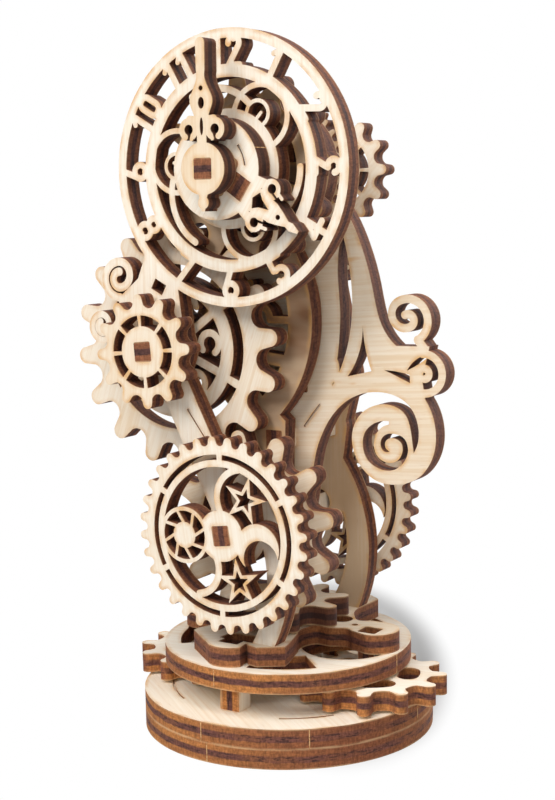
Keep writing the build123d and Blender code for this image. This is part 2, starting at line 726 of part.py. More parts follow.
# Rear plate
with BuildPart() as rear_plate:
    with BuildSketch(upright(y_rear)):
        add(leg(0.9))
        with Locations(axis_c):
            Circle(4.6)
        with Locations(axis_a):
            Circle(6.0)
        add(bar(axis_c, peg_low_at, 7.0))
        add(bar(peg_low_at, peg_mid_at, 6.0))
        add(bar(peg_mid_at, axis_d, 6.0))
        add(bar(axis_d, axis_a, 6.0))
        with Locations(axis_a, axis_c):
            Circle(bore_r, mode=Mode.SUBTRACT)
        with Locations(axis_d):
            Circle(pin_r, mode=Mode.SUBTRACT)
        with Locations(peg_low_at, peg_mid_at):
            add(shaft_end(), mode=Mode.SUBTRACT)
    extrude(amount=ply)


def rod(centre, y_from, y_to, spin=0.0):
    """Square rod that runs front to back."""
    with BuildPart() as piece:
        with BuildSketch(Plane(origin=(centre[0], y_to, centre[1]), x_dir=(1, 0, 0), z_dir=(0, -1, 0))):
            add(shaft_end(spin))
        extrude(amount=y_to - y_from)
    return piece


peg_low = rod(peg_low_at, y_inner, y_rear + ply)
peg_mid = rod(peg_mid_at, y_scroll, y_rear + ply)
peg_left = rod(peg_left_at, y_inner, y_scroll + ply)
peg_right = rod(peg_right_at, y_inner, y_scroll + ply)
shaft_c = rod(axis_c, y_outer, y_back + ply, turn_c)
shaft_b = rod(axis_b, y_outer, y_inner + ply, turn_b)
minute_shaft = rod(axis_a, y_minute, y_last + ply)

with BuildPart() as idler_pin:
    with BuildSketch(Plane(origin=(axis_d[0], y_rear + ply, axis_d[1]), x_dir=(1, 0, 0), z_dir=(0, -1, 0))):
        Circle(pin_r)
    extrude(amount=y_rear + ply - y_scroll)

# Axis C: fine wheels front and back and the train gear between
with BuildPart() as wheel_c_front:
    with BuildSketch(upright(y_outer)):
        with Locations(axis_c):
            add(fine_gear(rest_fine, turn_c))
    extrude(amount=ply)

with BuildPart() as wheel_c_back:
    with BuildSketch(upright(y_back)):
        with Locations(axis_c):
            add(fine_gear(rest_fine, turn_c))
    extrude(amount=ply)

with BuildPart() as gear_c:
    with BuildSketch(upright(y_train)):
        with Locations(axis_c):
            add(train_gear(teeth_end, pitch_end, rest_end_c))
            for k in range(4):
                add(window(4.6, 9.0, rest_end_c + 90 * k + 12, 66), mode=Mode.SUBTRACT)
            add(shaft_end(turn_c), mode=Mode.SUBTRACT)
    extrude(amount=ply)

# Axis B: knob wheel and the middle train gear
with BuildPart() as wheel_b_front:
    with BuildSketch(upright(y_outer)):
        with Locations(axis_b):
            add(knob_gear(knob_r, turn_b, turn_b))
    extrude(amount=ply)

with BuildPart() as gear_b:
    with BuildSketch(upright(y_train)):
        with Locations(axis_b):
            add(train_gear(teeth_mid, pitch_mid, rest_mid))
            for k in range(6):
                add(window(10.8, 12.6, rest_mid + 60 * k + 32, 54), mode=Mode.SUBTRACT)
            Circle(8.6, mode=Mode.SUBTRACT)
            Circle(4.4)
            for k in range(6):
                add(bow(at(6.6, rest_mid + 60 * k), 1.6, rest_mid + 60 * k - 60, 270, 1.1))
                add(bar(at(3.6, rest_mid + 60 * k + 30), at(9.2, rest_mid + 60 * k + 30), 1.3))
            add(shaft_end(turn_b), mode=Mode.SUBTRACT)
    extrude(amount=ply)

# Axis A: the hour pipe with its gears and hand, and the minute shaft inside it
with BuildPart() as hour_pipe:
    with BuildSketch(Plane(origin=(axis_a[0], y_hour + ply, axis_a[1]), x_dir=(1, 0, 0), z_dir=(0, -1, 0))):
        add(pipe_end())
        Circle(bore_r, mode=Mode.SUBTRACT)
    extrude(amount=y_hour + ply - y_hour_hand)

with BuildPart() as gear_a:
    with BuildSketch(upright(y_train)):
        with Locations(axis_a):
            add(train_gear(teeth_end, pitch_end, rest_end_a))
            for k in range(4):
                add(window(6.0, 9.0, rest_end_a + 90 * k + 10, 70), mode=Mode.SUBTRACT)
            add(pipe_end(), mode=Mode.SUBTRACT)
    extrude(amount=ply)

with BuildPart() as hour_wheel:
    with BuildSketch(upright(y_hour)):
        with Locations(axis_a):
            add(small_gear(teeth_hour, pitch_hour, rest_hour))
            with PolarLocations(6.4, 6):
                Circle(1.3, mode=Mode.SUBTRACT)
            add(pipe_end(), mode=Mode.SUBTRACT)
    extrude(amount=ply)

with BuildPart() as hour_key:
    with BuildSketch(upright(y_hour_hand)):
        with Locations(Location((axis_a[0], axis_a[1], 0), (0, 0, hour_rest))):
            add(key_end())
    extrude(amount=ply)

with BuildPart() as hour_hand:
    with BuildSketch(upright(y_hour_hand)):
        with Locations(Location((axis_a[0], axis_a[1], 0), (0, 0, hour_rest))):
            add(hour_face())
            add(key_end(), mode=Mode.SUBTRACT)
        with Locations(axis_a):
            add(pipe_end(), mode=Mode.SUBTRACT)
    extrude(amount=ply)
    with BuildSketch(front_of(y_hour_hand)):
        with Locations(axis_a):
            add(bow((0, 0), 5.0, 6, 32, groove_w))
            add(bow((0, 0), 5.0, 252, 22, groove_w))
    extrude(amount=-groove_d, mode=Mode.SUBTRACT)

with BuildPart() as minute_hand:
    with BuildSketch(upright(y_minute)):
        with Locations(axis_a):
            add(minute_face())
            add(shaft_end(), mode=Mode.SUBTRACT)
    extrude(amount=ply)

with BuildPart() as cannon_pinion:
    with BuildSketch(upright(y_idler + lift)):
        with Locations(axis_a):
            add(small_gear(teeth_cannon, pitch_cannon, rest_cannon))
            add(shaft_end(), mode=Mode.SUBTRACT)
    extrude(amount=ply)

with BuildPart() as wheel_a_back:
    with BuildSketch(upright(y_last)):
        with Locations(axis_a):
            add(knob_gear(knob_r, 0.0, 0.0))
    extrude(amount=ply)

# Idler between the hour pipe and the minute shaft
with BuildPart() as idler_pinion:
    with BuildSketch(upright(y_hour)):
        with Locations(axis_d):
            add(small_gear(teeth_leaf, pitch_leaf, rest_leaf))
            Circle(pin_r + pin_gap, mode=Mode.SUBTRACT)
    extrude(amount=ply)

with BuildPart() as idler_wheel:
    with BuildSketch(upright(y_idler)):
        with Locations(axis_d):
            add(small_gear(teeth_wheel, pitch_wheel, rest_wheel))
            with PolarLocations(5.4, 5):
                Circle(1.9, mode=Mode.SUBTRACT)
            Circle(pin_r + pin_gap, mode=Mode.SUBTRACT)
    extrude(amount=ply)

pieces = {
    "base_lower": base_lower,
    "base_upper": base_upper,
    "post_front": post_front,
    "post_back": post_back,
    "pin_right": pin_right,
    "pin_left": pin_left,
    "platform": platform,
    "cross_plate": cross_plate,
    "front_plate": front_plate,
    "inner_plate": inner_plate,
    "scroll_plate": scroll_plate,
    "rear_plate": rear_plate,
    "peg_low": peg_low,
    "peg_mid": peg_mid,
    "peg_left": peg_left,
    "peg_right": peg_right,
    "thumb_right": thumb_right,
    "thumb_left": thumb_left,
    "sun_pinion": sun_pinion,
    "crown_gear": crown_gear,
    "centre_shaft": centre_shaft,
    "shaft_c": shaft_c,
    "wheel_c_front": wheel_c_front,
    "gear_c": gear_c,
    "wheel_c_back": wheel_c_back,
    "shaft_b": shaft_b,
    "wheel_b_front": wheel_b_front,
    "gear_b": gear_b,
    "hour_pipe": hour_pipe,
    "gear_a": gear_a,
    "hour_wheel": hour_wheel,
    "hour_hand": hour_hand,
    "hour_key": hour_key,
    "minute_shaft": minute_shaft,
    "minute_hand": minute_hand,
    "cannon_pinion": cannon_pinion,
    "wheel_a_back": wheel_a_back,
    "idler_pin": idler_pin,
    "idler_pinion": idler_pinion,
    "idler_wheel": idler_wheel,
}
for label, piece in pieces.items():
    piece.part.label = label
    export_step(piece.part, f"parts/{label}.step")
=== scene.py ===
"""Looks of the plywood gear clock: laser-cut birch sheet, browned edges, nib marks and studio light."""
import logging
import math
from dataclasses import dataclass, field
from enum import Enum

import bpy
from mathutils import Euler, Matrix, Quaternion, Vector


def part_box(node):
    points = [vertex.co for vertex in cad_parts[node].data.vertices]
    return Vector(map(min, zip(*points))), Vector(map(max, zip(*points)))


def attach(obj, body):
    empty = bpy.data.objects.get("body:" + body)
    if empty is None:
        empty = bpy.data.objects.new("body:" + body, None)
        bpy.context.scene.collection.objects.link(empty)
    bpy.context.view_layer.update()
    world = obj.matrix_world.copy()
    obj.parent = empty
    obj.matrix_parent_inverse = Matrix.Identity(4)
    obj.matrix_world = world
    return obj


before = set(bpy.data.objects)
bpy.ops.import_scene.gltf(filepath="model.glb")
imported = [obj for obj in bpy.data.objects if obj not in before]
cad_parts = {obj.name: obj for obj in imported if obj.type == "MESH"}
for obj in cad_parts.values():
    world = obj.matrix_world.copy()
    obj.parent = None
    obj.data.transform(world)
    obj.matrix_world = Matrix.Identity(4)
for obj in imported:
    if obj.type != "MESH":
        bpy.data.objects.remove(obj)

LOG = logging.getLogger("gear_clock")
MM = 0.001
SHEET = 3.0
SEED_STEP = 3.7
NOISE_MIDDLE = 0.5
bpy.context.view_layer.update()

Colour = tuple[float, float, float, float]
Levels = tuple[float, float, float, float]
Triple = tuple[float, float, float]
Sockets = tuple[bpy.types.NodeSocket, bpy.types.NodeSocket]
WHITE: Colour = (1.0, 1.0, 1.0, 1.0)


def srgb(red: int, green: int, blue: int) -> Colour:
    """Turn a colour picked on screen into the linear values that shaders use.

    Args:
        red, green, blue: Screen values from 0 to 255.

    Returns:
        Linear red, green, blue and an alpha of one.
    """
    linear = [
        v / 255 / 12.92 if v <= 10 else ((v / 255 + 0.055) / 1.055) ** 2.4
        for v in (red, green, blue)
    ]
    return (linear[0], linear[1], linear[2], 1.0)


class Stock(Enum):
    """How a piece is cut from the sheet: which way the sheet lies in the clock."""

    UPRIGHT = "upright"
    FLAT = "flat"
    ROD_DEPTH = "rod front to back"
    ROD_UP = "rod up"


class Char(Enum):
    """How strongly the laser has burnt the cut edge; the top level is partly painted shade on edges that sit
    in shade.
    """

    TOASTED = 0.0
    BROWNED = 0.55
    CHARRED = 1.0
    # Past full char: heavier burn, and partly painted shade on dark edges.
    BLACKENED_AND_SHADED = 2.0


@dataclass(frozen=True)
class Pattern:
    """Stretched noise: its cycles along three directions, its octaves and the share of the finer ones."""

    scale: Triple
    detail: float
    rough: float = 0.5


class NodeSketch:
    """Short way to write a node tree: add nodes, set inputs and link them."""

    def __init__(self, tree: bpy.types.NodeTree) -> None:
        """Keep the tree that the nodes go into."""
        self.tree = tree

    def add(self, kind: str, **settings: object) -> bpy.types.Node:
        """Add one node and set its properties.

        Args:
            kind: Blender's name for the node type.
            settings: Node properties by name.

        Returns:
            The new node.
        """
        node = self.tree.nodes.new(kind)
        for key, value in settings.items():
            setattr(node, key, value)
        return node

    def feed(self, socket: bpy.types.NodeSocket, value: object) -> None:
        """Link a socket to another node's output, or set its value.

        Args:
            socket: Input to feed.
            value: Output socket, or the plain value to set.
        """
        if isinstance(value, bpy.types.NodeSocket):
            self.tree.links.new(value, socket)
        else:
            socket.default_value = value

    def math(self, operation: str, *values: object, clamp: bool = False) -> bpy.types.NodeSocket:
        """One math step.

        Args:
            operation: Blender's name for the operation.
            values: Sockets or numbers for its inputs.
            clamp: Keep the result between zero and one.

        Returns:
            The result socket.
        """
        node = self.add("ShaderNodeMath", operation=operation, use_clamp=clamp)
        for socket, value in zip(node.inputs, values):
            self.feed(socket, value)
        return node.outputs[0]

    def ramp(
        self, value: object, low: float, high: float, to_low: float = 0.0, to_high: float = 1.0
    ) -> bpy.types.NodeSocket:
        """Smooth step between two levels.

        Args:
            value: Socket to remap.
            low, high: Levels where the step starts and ends.
            to_low, to_high: Results at those levels.

        Returns:
            The remapped socket.
        """
        node = self.add("ShaderNodeMapRange", interpolation_type="SMOOTHSTEP")
        entries = {"Value": value, "From Min": low, "From Max": high, "To Min": to_low, "To Max": to_high}
        for key, entry in entries.items():
            self.feed(node.inputs[key], entry)
        return node.outputs["Result"]

    def mix(self, factor: object, first: object, second: object, blend: str = "MIX") -> bpy.types.NodeSocket:
        """Mix two colours.

        Args:
            factor: How much of the second colour.
            first, second: Colours or colour sockets.
            blend: Blender's name for the blend.

        Returns:
            The mixed colour socket.
        """
        node = self.add("ShaderNodeMix", data_type="RGBA", blend_type=blend)
        # Inputs 6 and 7 and output 2 are the node's colour sockets.
        self.feed(node.inputs[0], factor)
        self.feed(node.inputs[6], first)
        self.feed(node.inputs[7], second)
        return node.outputs[2]

    def noise(self, point: object, pattern: Pattern, seed: object) -> bpy.types.NodeSocket:
        """Noise drawn out along the wood's own directions.

        Args:
            point: Place on the wood.
            pattern: How fine the noise is each way, and how rough.
            seed: Number that shifts it.

        Returns:
            The noise value socket.
        """
        spread = self.add("ShaderNodeVectorMath", operation="MULTIPLY")
        self.feed(spread.inputs[0], point)
        spread.inputs[1].default_value = pattern.scale
        noise = self.add("ShaderNodeTexNoise", noise_dimensions="4D")
        self.feed(noise.inputs["Vector"], spread.outputs[0])
        self.feed(noise.inputs["W"], seed)
        noise.inputs["Scale"].default_value = 1.0
        noise.inputs["Detail"].default_value = pattern.detail
        noise.inputs["Roughness"].default_value = pattern.rough
        return noise.outputs["Fac"]

    def bump(self, shader: bpy.types.Node, height: object, strength: float, depth: float) -> None:
        """Give a shader fine relief.

        Args:
            shader: Shader that takes the relief.
            height: Height socket.
            strength: Share of the relief that shows.
            depth: Depth of the relief in millimetres.
        """
        bump = self.add("ShaderNodeBump")
        bump.inputs["Strength"].default_value = strength
        bump.inputs["Distance"].default_value = depth * MM
        self.feed(bump.inputs["Height"], height)
        self.feed(shader.inputs["Normal"], bump.outputs[0])


@dataclass(frozen=True)
class BirchPly:
    """Three-layer birch sheet with laser-cut edges: colours, steps, and sizes and noises in millimetres."""

    sheet: float = SHEET
    outer_ply: float = 1.02
    edge_tilt: Levels = (0.45, 0.75, 1.0, 0.0)
    face_roughness: float = 0.56
    edge_roughness: float = 0.18
    specular: float = 0.25
    relief_strength: float = 0.5
    relief_depth: float = 0.06

    face_light: Colour = srgb(244, 234, 218)
    face_warm: Colour = srgb(226, 201, 168)
    fine_grain: Pattern = Pattern((0.05, 2.2, 0.4), 4.0, 0.6)
    fine_share: float = 0.7
    broad_grain: Pattern = Pattern((0.025, 0.22, 0.1), 2.0)
    broad_share: float = 0.4
    warm_step: Levels = (0.4, 0.8, 0.0, 0.7)
    pore: Colour = srgb(196, 158, 116)
    pores: Pattern = Pattern((0.45, 7.0, 0.5), 2.0)
    pore_step: Levels = (0.62, 0.74, 0.0, 0.28)
    # Painted shade: a patchy brown film that stands in for the deep shade on plates inside the clock.
    painted_shade_colour: Colour = srgb(134, 97, 68)
    painted_shade_patches: Pattern = Pattern((0.06, 0.12, 0.1), 3.0, 0.6)
    painted_shade_step: Levels = (0.3, 0.7, 0.6, 1.4)
    scorch: Colour = srgb(214, 160, 88)
    halo: float = 0.75
    halo_samples: int = 4
    halo_step: Levels = (0.55, 0.98, 1.0, 0.0)
    halo_patches: Pattern = Pattern((0.35, 0.35, 0.2), 2.0)
    halo_patch_step: Levels = (0.38, 0.66, 0.12, 0.85)
    smudges: Pattern = Pattern((0.09, 0.3, 0.1), 3.0, 0.65)
    smudge_step: Levels = (0.62, 0.74, 0.0, 1.0)

    toast: Colour = srgb(180, 118, 64)
    toast_end: Colour = srgb(132, 78, 50)
    burnt: Colour = srgb(131, 81, 54)
    burnt_end: Colour = srgb(106, 66, 50)
    burnt_patches: Pattern = Pattern((0.1, 0.1, 0.5), 3.0, 0.6)
    burnt_step: Levels = (0.42, 0.62, 0.0, 0.5)
    core: Colour = srgb(114, 70, 58)
    core_dark: Colour = srgb(98, 61, 54)
    core_wander: Pattern = Pattern((0.3, 0.3, 0.05), 4.0, 0.65)
    wander_reach: float = 0.6
    core_blur: float = 0.14
    blotches: Pattern = Pattern((0.16, 0.16, 0.35), 3.0, 0.6)
    blotch_step: Levels = (0.45, 0.65, 0.0, 1.0)
    bleed_least: float = 0.15
    bleed_end_grain: float = 0.6
    soot: Colour = srgb(54, 35, 32)
    core_soot: float = 0.45
    dashes: Pattern = Pattern((0.6, 0.6, 2.6), 3.0, 0.65)
    dash_step: Levels = (0.5, 0.62, 0.0, 0.8)
    char_and_shade_step: Levels = (Char.CHARRED.value, Char.BLACKENED_AND_SHADED.value, 0.0, 0.52)
    stripes: Pattern = Pattern((3.4, 3.4, 1.5), 4.0, 0.65)
    stripe_step: Levels = (0.28, 0.72, 0.62, 1.34)
    fibres: Pattern = Pattern((1.1, 1.1, 8.0), 3.0, 0.6)
    fibre_step: Levels = (0.3, 0.7, 0.8, 1.2)
    arris: Colour = srgb(224, 186, 140)
    lip_width: float = 0.3
    lip_full: float = 0.02
    lip_share: float = 0.62
    lip_patch_step: Levels = (0.35, 0.65, 0.15, 1.0)

    def group(self) -> bpy.types.NodeTree:
        """Build the shared node group once.

        Returns:
            A group that takes a place and a normal on the sheet and gives colour, roughness and height.
        """
        name = "birch_ply_sheet"
        if name in bpy.data.node_groups:
            return bpy.data.node_groups[name]
        tree = bpy.data.node_groups.new(name, "ShaderNodeTree")
        inputs = {"Point": "Vector", "Normal": "Vector"}
        # One of these inputs sets how much brown film of painted shade a piece takes.
        inputs |= {label: "Float" for label in ("Seed", "Char", "Smudge", "Warmth", "PaintedShade")}
        for label, kind in inputs.items():
            tree.interface.new_socket(label, in_out="INPUT", socket_type=f"NodeSocket{kind}")
        for label, kind in (("Colour", "Color"), ("Roughness", "Float"), ("Height", "Float")):
            tree.interface.new_socket(label, in_out="OUTPUT", socket_type=f"NodeSocket{kind}")
        pen = NodeSketch(tree)
        given = pen.add("NodeGroupInput").outputs
        result = pen.add("NodeGroupOutput").inputs
        normal = pen.add("ShaderNodeSeparateXYZ")
        pen.feed(normal.inputs[0], given["Normal"])
        place = pen.add("ShaderNodeSeparateXYZ")
        pen.feed(place.inputs[0], given["Point"])
        edge = pen.ramp(pen.math("ABSOLUTE", normal.outputs[2]), *self.edge_tilt)
        face_colour, grain = self.face(pen, given)
        edge_colour, stripes = self.edge(pen, given, normal.outputs[0], place.outputs[2])
        pen.feed(result["Colour"], pen.mix(edge, face_colour, edge_colour))
        rougher = pen.math("MULTIPLY", edge, self.edge_roughness)
        pen.feed(result["Roughness"], pen.math("ADD", self.face_roughness, rougher))
        pen.feed(result["Height"], pen.mix(edge, grain, stripes))
        return tree

    def face(self, pen: NodeSketch, given: bpy.types.NodeOutputs) -> Sockets:
        """Sanded veneer: grain, pores, a brown film of painted shade, scorch halo at the cuts and smudges.

        Args:
            pen: Writer for the group's tree.
            given: The group's inputs.

        Returns:
            Face colour and grain height sockets.
        """
        point, seed = given["Point"], given["Seed"]
        fine = pen.noise(point, self.fine_grain, seed)
        broad = pen.noise(point, self.broad_grain, seed)
        pores = pen.noise(point, self.pores, seed)
        fine_part = pen.math("MULTIPLY", fine, self.fine_share)
        grain = pen.math("ADD", fine_part, pen.math("MULTIPLY", broad, self.broad_share))
        warm = pen.math("ADD", pen.ramp(grain, *self.warm_step), given["Warmth"], clamp=True)
        colour = pen.mix(warm, self.face_light, self.face_warm)
        colour = pen.mix(pen.ramp(pores, *self.pore_step), colour, self.pore)
        # Painted shade: a brown film, as strong as the piece's share, standing in for the shade inside the
        # clock.
        painted_shade_patches = pen.ramp(pen.noise(point, self.painted_shade_patches, seed), *self.painted_shade_step)
        painted_shade_patches = pen.math("MULTIPLY", painted_shade_patches, given["PaintedShade"], clamp=True)
        colour = pen.mix(painted_shade_patches, colour, self.painted_shade_colour)
        cavity = pen.add(
            "ShaderNodeAmbientOcclusion", samples=self.halo_samples, inside=True, only_local=True
        )
        cavity.inputs["Distance"].default_value = self.halo * MM
        near_cut = pen.ramp(cavity.outputs["AO"], *self.halo_step)
        patches = pen.ramp(pen.noise(point, self.halo_patches, seed), *self.halo_patch_step)
        colour = pen.mix(pen.math("MULTIPLY", near_cut, patches), colour, self.scorch)
        smudges = pen.ramp(pen.noise(point, self.smudges, seed), *self.smudge_step)
        colour = pen.mix(pen.math("MULTIPLY", smudges, given["Smudge"]), colour, self.scorch)
        return colour, fine

    def edge(
        self,
        pen: NodeSketch,
        given: bpy.types.NodeOutputs,
        along_grain: bpy.types.NodeSocket,
        depth: bpy.types.NodeSocket,
    ) -> Sockets:
        """Cut edge: two outer layers, a dark core, fine burn stripes and a pale arris.

        Args:
            pen: Writer for the group's tree.
            given: The group's inputs.
            along_grain: How far the edge faces along the grain.
            depth: How deep in the sheet the point lies.

        Returns:
            Edge colour and stripe height sockets.
        """
        point, seed, char = given["Point"], given["Seed"], given["Char"]
        middle_depth = self.sheet / 2
        end_grain = pen.math("MULTIPLY", along_grain, along_grain)
        outer = pen.mix(
            end_grain,
            pen.mix(char, self.toast, self.burnt),
            pen.mix(char, self.toast_end, self.burnt_end),
        )
        patches = pen.ramp(pen.noise(point, self.burnt_patches, seed), *self.burnt_step)
        outer = pen.mix(patches, outer, self.burnt)
        middle = pen.mix(end_grain, self.core_dark, self.core)
        middle = pen.mix(pen.math("MULTIPLY", char, self.core_soot), middle, self.soot)
        blotch = pen.noise(point, self.blotches, seed)
        bleed = pen.math("MULTIPLY", end_grain, self.bleed_end_grain)
        bleed = pen.math("ADD", self.bleed_least, bleed)
        bleed = pen.math("MULTIPLY", pen.ramp(blotch, *self.blotch_step), bleed)
        middle = pen.mix(bleed, middle, outer)
        dashes = pen.ramp(pen.noise(point, self.dashes, seed), *self.dash_step)
        middle = pen.mix(dashes, middle, self.soot)
        wander = pen.math("SUBTRACT", pen.noise(point, self.core_wander, seed), NOISE_MIDDLE)
        wandering = pen.math("ADD", depth, pen.math("MULTIPLY", wander, self.wander_reach))
        off_core = pen.math("ABSOLUTE", pen.math("SUBTRACT", wandering, middle_depth))
        half = middle_depth - self.outer_ply
        core = pen.ramp(off_core, half - self.core_blur, half + self.core_blur, 1.0, 0.0)
        colour = pen.mix(core, outer, middle)
        stripes = pen.noise(point, self.stripes, seed)
        fibres = pen.ramp(pen.noise(point, self.fibres, seed), *self.fibre_step)
        shade = pen.math("MULTIPLY", pen.ramp(stripes, *self.stripe_step), fibres)
        tone = pen.add("ShaderNodeCombineColor")
        for socket in tone.inputs:
            pen.feed(socket, shade)
        colour = pen.mix(1.0, colour, tone.outputs[0], "MULTIPLY")
        # Past full char the edge darkens toward soot: heavy burn, and partly painted shade.
        colour = pen.mix(pen.ramp(char, *self.char_and_shade_step), colour, self.soot)
        rim = pen.math("ABSOLUTE", pen.math("SUBTRACT", depth, middle_depth))
        lip = pen.ramp(rim, middle_depth - self.lip_width, middle_depth - self.lip_full, 0.0, self.lip_share)
        lip = pen.math("MULTIPLY", lip, pen.ramp(blotch, *self.lip_patch_step))
        return pen.mix(lip, colour, self.arris), stripes

    def material(self, piece: "CutPiece", seed: float) -> bpy.types.Material:
        """Sheet material for one piece.

        Args:
            piece: The piece, with its lie, burn and share of painted shade.
            seed: Number that shifts the pattern.

        Returns:
            The finished material.
        """
        material = bpy.data.materials.new(f"ply_{piece.node}")
        material.use_nodes = True
        pen = NodeSketch(material.node_tree)
        shader = material.node_tree.nodes["Principled BSDF"]
        where = pen.add("ShaderNodeTexCoord")
        local = pen.add("ShaderNodeMapping", vector_type="TEXTURE")
        pen.feed(local.inputs["Vector"], where.outputs["Object"])
        local.inputs["Location"].default_value = piece.origin()
        local.inputs["Rotation"].default_value = piece.turn()
        local.inputs["Scale"].default_value = (MM, MM, MM)
        facing = pen.add("ShaderNodeMapping", vector_type="TEXTURE")
        pen.feed(facing.inputs["Vector"], where.outputs["Normal"])
        facing.inputs["Rotation"].default_value = piece.turn()
        ply = pen.add("ShaderNodeGroup", node_tree=self.group())
        given = {
            "Point": local.outputs[0],
            "Normal": facing.outputs[0],
            "Seed": seed,
            "Char": piece.char.value,
            "Smudge": piece.smudge,
            "Warmth": piece.warmth,
            # The piece's share of painted shade.
            "PaintedShade": piece.painted_shade_share,
        }
        for label, value in given.items():
            pen.feed(ply.inputs[label], value)
        pen.feed(shader.inputs["Base Color"], ply.outputs["Colour"])
        pen.feed(shader.inputs["Roughness"], ply.outputs["Roughness"])
        shader.inputs["Specular IOR Level"].default_value = self.specular
        pen.bump(shader, ply.outputs["Height"], self.relief_strength, self.relief_depth)
        return material


@dataclass
class CutPiece:
    """One piece cut from the sheet: its node, how it lies, its grain, its burn and its share of painted
    shade.
    """

    node: str
    stock: Stock
    grain_deg: float = 0.0
    char: Char = Char.CHARRED
    smudge: float = 0.5
    spin_deg: float = 0.0
    warmth: float = 0.0
    # Share of painted shade: a brown film standing in for the shade the piece sits in.
    painted_shade_share: float = 0.0

    def turn(self) -> Euler:
        """Turn from the clock's axes to the sheet's own.

        Returns:
            Angles that lay X along the grain, Y across it and Z through the sheet.
        """
        quarter = math.radians(90)
        grain = Matrix.Rotation(math.radians(self.grain_deg), 3, "Z")
        if self.stock is Stock.FLAT:
            lie = Matrix.Identity(3)
        elif self.stock is Stock.UPRIGHT:
            lie = Matrix.Rotation(quarter, 3, "X")
        elif self.stock is Stock.ROD_DEPTH:
            spin = Matrix.Rotation(math.radians(-self.spin_deg), 3, "Y")
            lie = spin @ Matrix.Rotation(quarter, 3, "Y")
        else:
            lie = Matrix.Rotation(quarter, 3, "Y")
        return (lie @ grain).to_euler()

    def origin(self) -> Vector:
        """Find where the sheet's depth starts.

        Returns:
            Point on the sheet's back face, in metres.
        """
        low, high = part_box(self.node)
        middle = (low + high) / 2
        if self.stock is Stock.UPRIGHT:
            return Vector((middle.x, high.y, middle.z))
        if self.stock is Stock.FLAT:
            return Vector((middle.x, middle.y, low.z))
        return middle - SHEET / 2 * MM * (self.turn().to_matrix() @ Vector((0, 0, 1)))

    def dress(self, ply: BirchPly, seed: float) -> None:
        """Give the node its sheet material.

        Args:
            ply: The sheet's finish.
            seed: Number that shifts the pattern.
        """
        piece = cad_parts[self.node]
        piece.data.materials.clear()
        piece.data.materials.append(ply.material(self, seed))
        LOG.info("%s: %s, %s edge", self.node, self.stock.value, self.char.name.lower())


